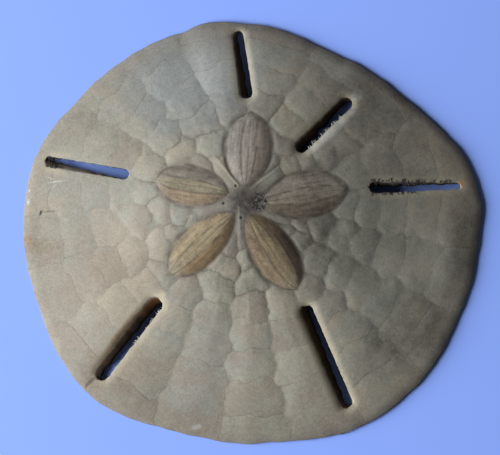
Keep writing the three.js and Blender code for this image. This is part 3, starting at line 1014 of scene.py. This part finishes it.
wide = mottle(14, 2, 0.5, 0.1)
patch = mottle(5, 3, 0.55, 0.3)
fine = mottle(0.9, 3, 0.6, 0.5)
grain = mottle(0.35, 1, 0.5, 0.7)


def stain(at, size, strength, edge=0.9, turn=0):
    """A soft-edged oval patch with an uneven outline. Edge is the share of it that fades."""
    away = spot(at, size, turn) + (patch - 0.5) * edge
    return away.fade(1 - edge, 1.0) * strength


colour = paint.mix(BONE, BONE_GREY, wide.step(0.4, 0.62) * 0.4)
tint = plate_tint + (patch - 0.5) * 4
colour = colour.toward(BONE_WARM, tint.step(0.1, 1.1) * 0.45)
colour = colour.toward(BONE_PINK, (0 - tint).step(0.1, 1.1) * 0.5)

# Areas of another colour: place, size, colour and strength. They are partly the calcite's own tints and
# partly painted light and shade: warmer on the lit left, olive over the shaded right half.
AREAS = [
    ((-10, 25), (24, 16), BONE_COOL, 0.75),
    ((20, 30), (16, 10), BONE_GREY, 0.5),
    ((-26, -14), (20, 16), BONE_WARM, 0.55),
    ((-22, -32), (12, 9), BONE_WARM, 0.6),
    ((36, 12), (10, 6), BONE_WARM, 0.5),
    ((24, -6), (20, 34), BONE_OLIVE, 0.45),
]
for at, size, dye, strength in AREAS:
    colour = colour.toward(dye, stain(at, size, strength))

# Lighter and darker areas, partly the calcite's own stains and partly painted light and shade: lighter on
# the left, which faces the window, and darker over the right half, which turns from it. Place, size, turn
# and change. It is darker towards the rim, too.
lightness = 0.95 + plate_tint * 0.05 + (patch - 0.5) * 0.2 + (fine - 0.5) * 0.4 + (grain - 0.5) * 0.45
PAINTED_LIGHT_SHADE_AND_STAINS = [
    ((-21, -4), (8, 12), 0, 0.22),
    ((-6, 27), (9, 9), 0, 0.16),
    ((-30, -22), (12, 14), 0, 0.08),
    ((0, -33), (12, 9), 0, 0.1),
    ((37, -10), (6, 10), 0, 0.18),
    ((24, 18), (14, 8), -35, -0.22),
    ((36, 9), (9, 7), -20, -0.1),
    ((26, 4), (16, 34), 0, -0.14),
    ((30, -26), (15, 9), 40, -0.22),
    ((17, -9), (8, 6), 0, -0.16),
    ((4, -4), (18, 17), 0, -0.18),
    ((0, -16), (8, 5), 0, -0.1),
    ((-21, -33), (9, 8), 0, -0.14),
    ((44, -8), (5, 11), 0, -0.3),
    ((38, -19), (7, 8), 0, -0.12),
    ((33, -28), (11, 8), 40, -0.1),
    ((-36, -27), (5, 9), 35, 0.1),
    ((-20, 18), (18, 10), 25, -0.06),
]
for at, size, turn, change in PAINTED_LIGHT_SHADE_AND_STAINS:
    lightness = lightness + stain(at, size, change, 0.8, turn)
lightness = lightness - to_rim.fade(0, 9) * 0.14

# Sutures are fine, faint, broken lines, and painted shade fills shallow clefts between the pebbles near the
# petals.
line_width = 0.1 + mottle(2.5, 2, 0.5, 0.9) * 0.16
suture = (in_plate + (fine - 0.5) * 0.1).fade(0.0, line_width) * mottle(7, 1, 0.5, 1.1).step(0.3, 0.65)
# Painted shade in the clefts near the petals.
near_petals = spot((1, -1), (24, 22)).fade(0.75, 1.05)
cleft_shade = in_plate.fade(0.0, 0.7) * near_petals
colour = colour.toward(SUTURE_BROWN_AND_CLEFT_SHADE, suture * 0.42 + cleft_shade * 0.3)

# Petals: two pore bands either side of a strip, and fine cross lines. Painted shade darkens the furrows
# between bands and strip and down the middle, the crease round each petal, and a soft halo about it that is
# partly stain.
# Petal_across is in mm, petal_along a share of the length, and side_share one of the half-width.
LEAST_HALF = 0.05
STREAKS = (1.3, 2.5)
PETAL_LENGTH = 17
CROSS_SPACING = 0.46
CROSS_SLANT = 0.25
PETAL_SOIL = tone(66, 53, 43)

half = abs(petal_across) + in_petal
side_share = abs(petal_across) / paint.maths("MAXIMUM", half, LEAST_HALF)
band_side = petal_across.step(-0.12, 0.12)
petal_cover = (in_petal + (fine - 0.5) * 0.8).step(-0.4, 0.5)
band = (side_share + (patch - 0.5) * 0.2).step(0.25, 0.4)
sides_tone = read("petal_right", 0).toward(read("petal_left", 0), band_side)
petal_tone = read("petal_strip", 0).toward(sides_tone, band)
colour = colour.toward(petal_tone, petal_cover * (0.95 - petal_along.step(0.75, 1.0) * 0.45))
lengthwise = paint.node(
    "ShaderNodeCombineXYZ", {}, {0: petal_across * STREAKS[0], 1: petal_along * STREAKS[1]}
)
streaks = paint.node("ShaderNodeTexNoise", {}, {"Vector": lengthwise, "Scale": 1.0, "Detail": 2.0})
# Painted shade: dark lines in the furrows, along the crease round each petal and in a soft halo.
furrow_shade = abs(side_share + (patch - 0.5) * 0.2 - STRIP_SHARE).fade(0.0, 0.1)
furrow_shade = furrow_shade * petal_cover * mottle(3, 1, 0.5, 1.7).step(0.25, 0.55)
axis = abs(petal_across + (patch - 0.5) * 0.5).fade(0.02, 0.2) * petal_cover
outline = abs(in_petal + (patch - 0.5) * 1.2).fade(0.0, 0.6) * mottle(3, 1, 0.5, 2.1).step(0.35, 0.6)
halo_shade_and_stain = abs(in_petal + (patch - 0.5) * 2).fade(0.0, 2.0) * 0.24
stripes = petal_along * PETAL_LENGTH + abs(petal_across) * CROSS_SLANT
cross = paint.maths("SINE", stripes * (math.tau / CROSS_SPACING))
cross = cross * band * petal_cover * mottle(1.2, 1, 0.5, 2.5)
blotches = mottle(1.1, 3, 0.65, 4.1)
lightness = lightness + cross * 0.09 + ((blotches + streaks) * 0.95 - 0.95) * petal_cover
soiled = stain((10.1, -11.4), (5, 9), 0.8, 0.4, 20) * band_side
soiled = soiled * (side_share + (fine - 0.5) * 0.2).step(0.38, 0.5)
colour = colour.toward(PETAL_SOIL, soiled * petal_cover)
colour = colour.toward(STAIN_AND_CREASE_SHADE, furrow_shade * 0.55 + axis * 0.35 + outline * 0.45 + halo_shade_and_stain)

# Pale ridges run out between the petals from a dark middle with a porous plate and four pores. The pores
# are painted shade: dark spots for their holes.
HEART = tone(60, 50, 45)
PORES = ((-3.8, -0.2), (-0.4, -3.0), (-1.4, 3.2), (4.4, 0.2))
PORE_SIZE = (0.36, 0.42)

heart = on_top * (spot((0.6, -0.2), (5.4, 5.0)) + (patch - 0.5) * 0.9).fade(0.2, 1.0)
colour = colour.toward(HEART, heart * (0.5 + blotches * 0.75))
colour = colour.toward(CREAM_AND_LIP_HIGHLIGHT, ridge.step(0.2, 0.9) * mottle(1.5, 2, 0.5, 5.3).step(0.2, 0.6) * 0.55)
porous = on_top * (spot((3.2, -0.1), (2.3, 2.3)) + (patch - 0.5)).fade(0.5, 1.0)
sieve = porous * mottle(0.75, 2, 0.6, 3.1).step(0.48, 0.56)
colour = colour.toward(SPECK_AND_HOLE_SHADE, sieve * 0.7)
colour = colour.toward(CHALK, porous * mottle(0.5, 1, 0.5, 4.7).step(0.58, 0.66) * 0.25)
# Painted shade in the four pores.
for at in PORES:
    colour = colour.toward(SPECK_AND_HOLE_SHADE, spot(at, PORE_SIZE).fade(0.5, 1.0) * on_top * 0.9)

# Slots: creamy lips, partly a painted highlight where the rounded lips catch the window, then brown dirt
# down the walls, rustiest at the lower left and partly painted shade, and painted shade going near-black
# towards their foot.
# The walls are nearly clean of both in the left slot, which the window lights along its length, and less
# dark in the right one, lit along its outer part; the left slot's lips get no cream. On the lips lie
# painted shade with a rusty tint and paler patches of painted highlight: place, size, turn, colour,
# strength and edge.
RUSTY_LIP_SHADE = tone(104, 76, 48)
LIP_HIGHLIGHT_GREY = tone(172, 168, 154)
# Painted shade with a rusty tint on the low-left slot's upper-left lip, and painted highlights on the anal
# slot's lower-right lip and outer end.
LIP_SHADE_AND_HIGHLIGHTS = [
    ((-23.6, -25.8), (1.7, 10), -38, RUSTY_LIP_SHADE, 0.75, 0.7),
    ((17.4, 13.9), (1.2, 8.0), -46, LIP_HIGHLIGHT_GREY, 0.55, 0.5),
    ((22.6, 21.3), (1.6, 1.6), 0, LIP_HIGHLIGHT_GREY, 0.5, 0.5),
]

lit_left_slot = spot((-28, 6.4), (9, 3.5), -10).fade(0.8, 1.0)
half_lit_right_slot = spot((35, 3.4), (11, 3.5)).fade(0.9, 1.0)
# The cream on the lips is partly a painted highlight.
lip = (to_slot + (fine - 0.5) * 0.8).fade(0.3, 1.7) * (1 - wall) * (1 - lit_left_slot)
colour = colour.toward(CREAM_AND_LIP_HIGHLIGHT, lip * 0.4)
rusty = stain((-18, -20), (4.5, 3.5), 0.9) + mottle(1.5, 2, 0.5, 3.5).step(0.5, 0.65) * 0.25
dirt_and_wall_shade = paint.mix(SOOT_AND_WALL_SHADE, RUST, rusty)
deep = (upper + (fine - 0.5) * 0.3).fade(0.65, 0.98)
colour = colour.toward(dirt_and_wall_shade, wall.step(0.0, 0.6) * deep * (1 - lit_left_slot * 0.8 - half_lit_right_slot * 0.4))
# Painted shade: the walls darken to near-black towards their foot.
colour = colour.toward(SPECK_AND_HOLE_SHADE, wall.step(0.0, 0.6) * upper.fade(0.2, 0.9) * (0.85 - lit_left_slot * 0.7))
for at, size, turn, dye, strength, edge in LIP_SHADE_AND_HIGHLIGHTS:
    colour = colour.toward(dye, stain(at, size, strength, edge, turn) * (1 - wall))

# The margin is tanned in places.
tan = (to_rim + (patch - 0.5) * 6).fade(0.5, 5.0) * wide.step(0.35, 0.6) * 0.4
colour = colour.toward(BONE_WARM, tan)

# Marks: a speck, a rusty spot and chips on the left margin, scratches, and a nick at a slot's end painted
# as a dark line of shade. A cream spot at the low-left slot's inner end is a painted highlight. Place,
# size, turn, colour and strength.
MARGIN_TAN = tone(112, 98, 66)
NICK_ORANGE = tone(168, 124, 84)
MARKS = [
    ((-40.2, -2.0), (0.35, 0.6), -15, SPECK_AND_HOLE_SHADE, 0.9),
    ((-38.2, -1.7), (2.2, 0.25), 4, STAIN_AND_CREASE_SHADE, 0.3),
    ((-43.0, -7.6), (0.9, 1.7), 0, RUST, 0.3),
    ((-40.4, -8.6), (3.6, 2.0), 10, MARGIN_TAN, 0.35),
    ((-42.8, 0.2), (0.45, 0.8), 0, CHALK, 0.4),
    ((-42.6, 2.4), (0.3, 0.45), 0, CHALK, 0.35),
    ((-37.0, 4.2), (2.3, 0.25), 8, CHALK, 0.3),
    ((-38.3, 4.9), (1.2, 0.2), -20, CHALK, 0.25),
    ((-37.6, 3.2), (0.9, 0.18), 35, CHALK, 0.25),
    ((-30.4, -35.6), (1.9, 0.5), 45, STAIN_AND_CREASE_SHADE, 0.6),
    ((-15.8, -17.8), (0.9, 1.0), 30, CREAM_AND_LIP_HIGHLIGHT, 0.5),
    ((43.6, 3.7), (0.8, 0.9), 0, NICK_ORANGE, 0.7),
    ((-9.2, -44.6), (1.4, 0.7), 20, CHALK, 0.35),
]
for at, size, turn, dye, strength in MARKS:
    away = spot(at, size, turn) + (fine - 0.5) * 1.2
    colour = colour.toward(dye, away.fade(0.45, 1.0) * strength * on_top)

# The finish: matt and chalky, with a fine grain, faint grooves along the sutures and open pores.
SHINE = 0.25

shade = paint.node("ShaderNodeCombineColor", {}, {0: lightness, 1: lightness, 2: lightness})
colour = colour.toward(shade, 1.0, "MULTIPLY")
colour.feed(shader, "Base Color")
roughness = 0.8 + (fine - 0.5) * 0.2
roughness.feed(shader, "Roughness")
shader.inputs["Specular IOR Level"].default_value = SHINE
height = (fine - 0.5) * 0.02 + (grain - 0.5) * 0.016 - suture * 0.012 + cross * 0.004 - sieve * 0.06
dents = paint.node("ShaderNodeBump", {}, {"Height": height, "Distance": MM, "Strength": 1.0})
dents.feed(shader, "Normal")
test_mesh.materials.append(calcite)

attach(test, "root")
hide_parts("test")

# Bristles: short, stiff stumps of spines that still stand on some of the slots' lips. They are bare and
# pale at two slots, and dark at two. Each is a slim cone, grown on the edge and leaning its
# own way, over the slot or, with a reach below 0, over the test.
BRISTLE_RADIUS = 0.08
BRISTLE_TIP = 0.25
BRISTLE_SIDES = 5
BRISTLE_SINK = 0.06
BRISTLE_LEAN = 0.6
REACH_SHARES = (0.5, 1.4)
INWARD_RISE = (0.1, 0.4)
OUTWARD_RISE = (0.35, 0.7)
HORN_PALE = tone(190, 184, 168)
HORN_DARK = tone(38, 31, 26)
HORN_ROUGHNESS = 0.7

# The slot, its left (1) or right (-1) lip, the stretch of it, how many, how far they reach and if dark.
TUFTS = [
    ("anal", -1, (0.12, 0.75), 30, 0.55, 0),
    ("right", 1, (0.02, 0.9), 40, -0.7, 1),
    ("right", -1, (0.02, 0.5), 26, -0.6, 1),
    ("right", 1, (0.02, 0.6), 24, 0.9, 1),
    ("left", -1, (0.8, 0.97), 16, 0.9, 1),
    ("left", 1, (0.82, 0.97), 16, 0.9, 1),
    ("low_left", 1, (0.02, 0.5), 18, 0.45, 0),
]


def lip_top(at):
    """Height of the upper surface at a place on a slot's edge, away from sutures."""
    x, y = at.reshape(2, 1)
    at_edge = np.zeros(1)
    return float(top_height(x, y, at_edge, at_edge + FAR, at_edge)[0])


form = bmesh.new()
dark_layer = form.verts.layers.float.new("dark")
draw = np.random.default_rng(51)
for slot_name, side, stretch, count, usual_reach, is_dark in TUFTS:
    slot = SLOTS[slot_name]
    inner, direction, length = slot_frame(slot)
    outward = np.array((-direction[1], direction[0])) * side
    over_slot = usual_reach > 0
    across = -outward if over_slot else outward
    for _ in range(count):
        s = length * draw.uniform(*stretch)
        root = inner + direction * s + outward * float(slot_half(slot, s, side))
        lean = direction * draw.uniform(-BRISTLE_LEAN, BRISTLE_LEAN) + across
        rising = draw.uniform(*(INWARD_RISE if over_slot else OUTWARD_RISE))
        heading = Vector((*lean, rising)).normalized()
        reach = abs(usual_reach) * draw.uniform(*REACH_SHARES)
        foot = Vector((*(root + APEX), lip_top(root) - (BRISTLE_SINK if over_slot else 0)))
        turn = heading.to_track_quat("Z", "Y").to_matrix().to_4x4()
        cone = bmesh.ops.create_cone(
            form,
            cap_ends=True,
            segments=BRISTLE_SIDES,
            radius1=BRISTLE_RADIUS * MM,
            radius2=BRISTLE_RADIUS * BRISTLE_TIP * MM,
            depth=reach * MM,
            matrix=Matrix.Translation((foot + heading * reach / 2) * MM) @ turn,
        )
        for v in cone["verts"]:
            v[dark_layer] = is_dark
bristle_mesh = bpy.data.meshes.new("bristles")
form.to_mesh(bristle_mesh)
form.free()
bristles = put_in_scene("bristles", bristle_mesh)

horn, shader = new_material("spine_horn")
paint = Field(horn.node_tree)
colour = paint.mix(HORN_PALE, HORN_DARK, read("dark"))
colour.feed(shader, "Base Color")
shader.inputs["Roughness"].default_value = HORN_ROUGHNESS
bristle_mesh.materials.append(horn)

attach(bristles, "root")
